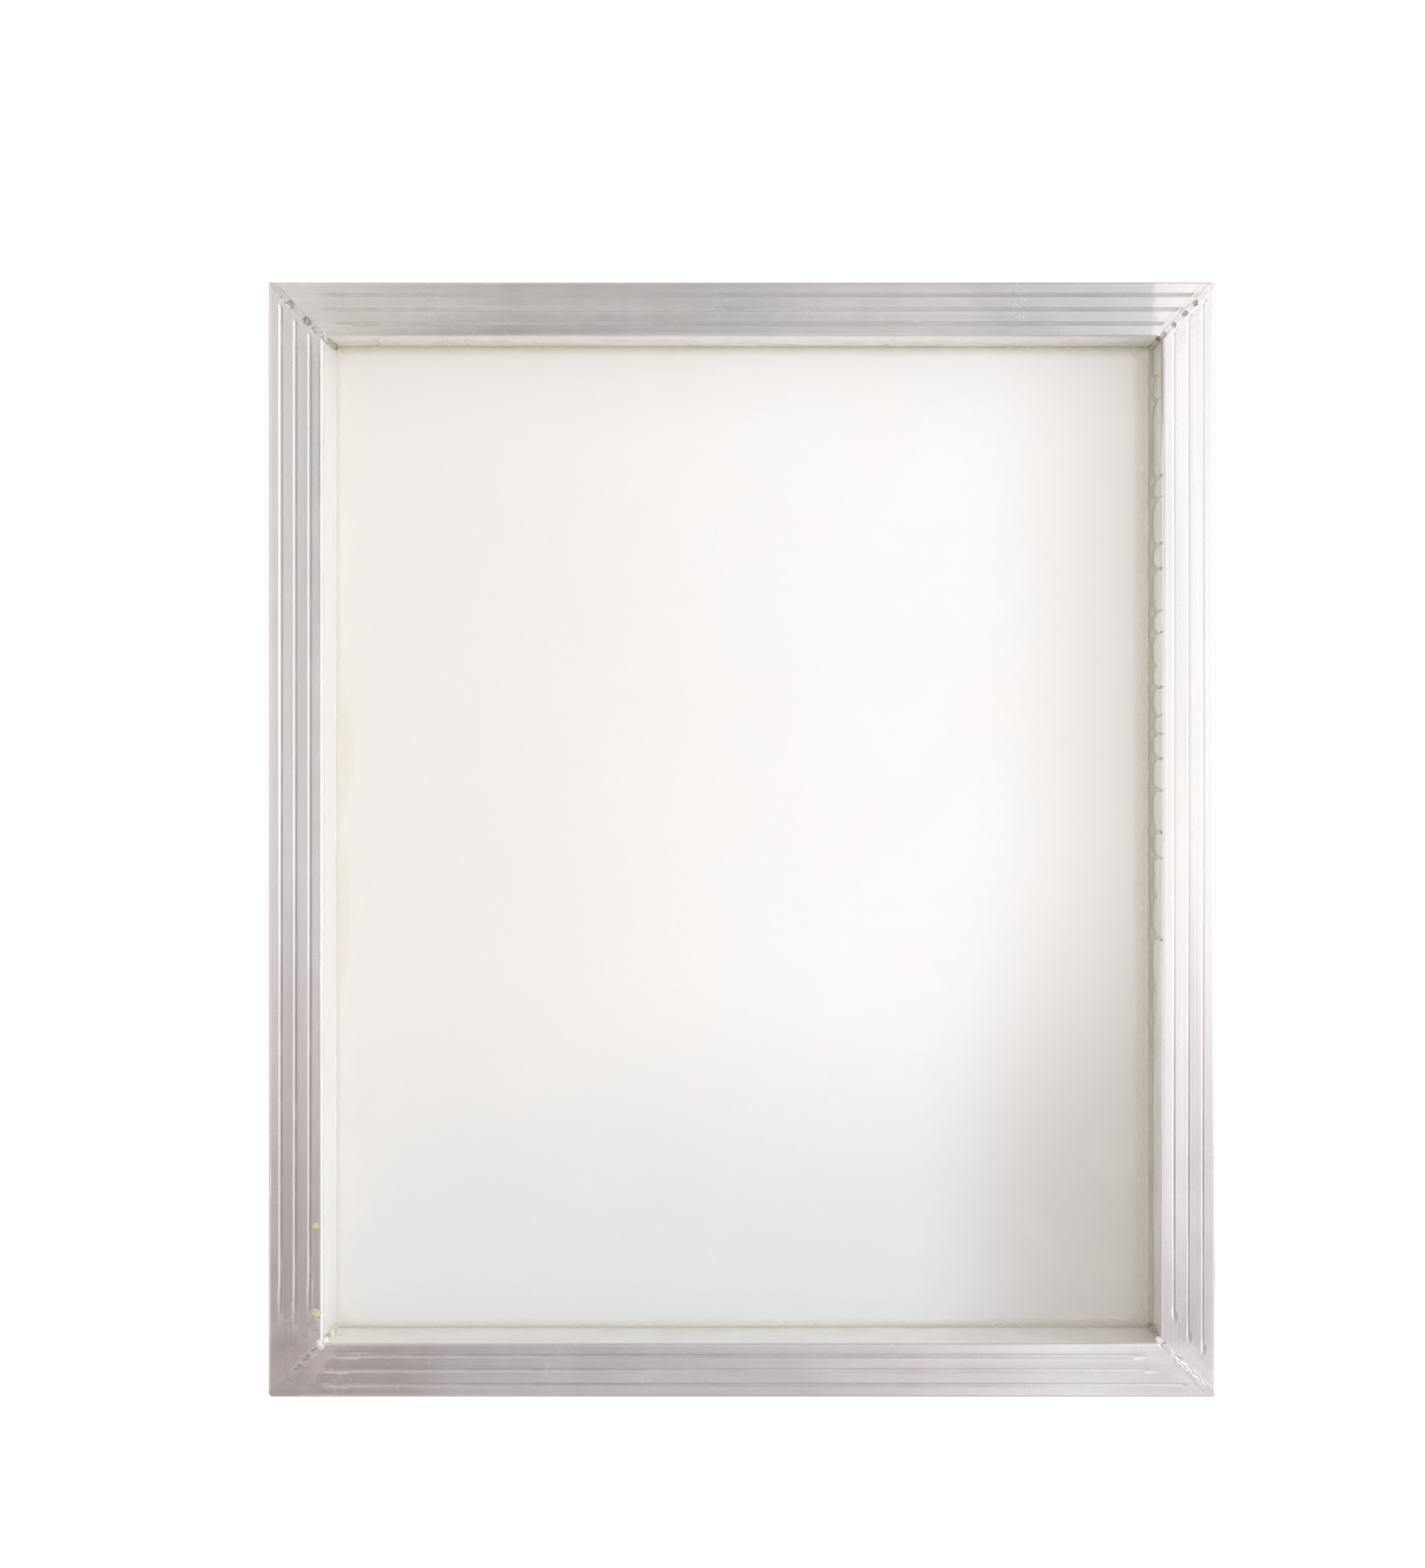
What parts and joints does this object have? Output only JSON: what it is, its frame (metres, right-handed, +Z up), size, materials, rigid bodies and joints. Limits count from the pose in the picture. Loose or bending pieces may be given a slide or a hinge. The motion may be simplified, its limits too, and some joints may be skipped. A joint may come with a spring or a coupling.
{
  "type": "screen printing frame",
  "caption": "Rectangular welded aluminium frame of hollow grooved rails with a taut white woven mesh glued across one side, for screen printing.",
  "frame": {"origin": "centre of the underside plane, the face of the frame that lies on the print", "axes": "+Z up out of the open well, from the mesh side to the squeegee side; +Y along the long side, towards the hinge end; +X across the short side, to the right seen from above"},
  "size_m": [0.51, 0.6, 0.0258],
  "materials": {
    "rail": "mill finish with fine die lines along the rail, smudged and lightly scratched",
    "weld": "ground weld metal with pits and grinding scratches",
    "mesh": "white woven monofilament polyester, taut",
    "adhesive": "cured clear adhesive, pale amber where thick"
  },
  "bodies": {
    "root": {"rail_left": "rail", "rail_right": "rail", "rail_back": "rail", "rail_front": "rail", "weld_face_back_left": "weld", "weld_face_back_right": "weld", "weld_face_front_left": "weld", "weld_face_front_right": "weld", "weld_under_back_left": "weld", "weld_under_back_right": "weld", "weld_under_front_left": "weld", "weld_under_front_right": "weld", "weld_outer_back_left": "weld", "weld_outer_back_right": "weld", "weld_outer_front_left": "weld", "weld_outer_front_right": "weld", "weld_inner_back_left": "weld", "weld_inner_back_right": "weld", "weld_inner_front_left": "weld", "weld_inner_front_right": "weld", "screen_mesh": "mesh", "adhesive_bond": "adhesive", "adhesive_coat": "adhesive", "adhesive_fillet_left": "adhesive", "adhesive_fillet_right": "adhesive", "adhesive_fillet_back": "adhesive", "adhesive_fillet_front": "adhesive", "adhesive_runs_right": "adhesive", "adhesive_runs_back": "adhesive", "adhesive_spots": "adhesive"}
  },
  "joints": []
}
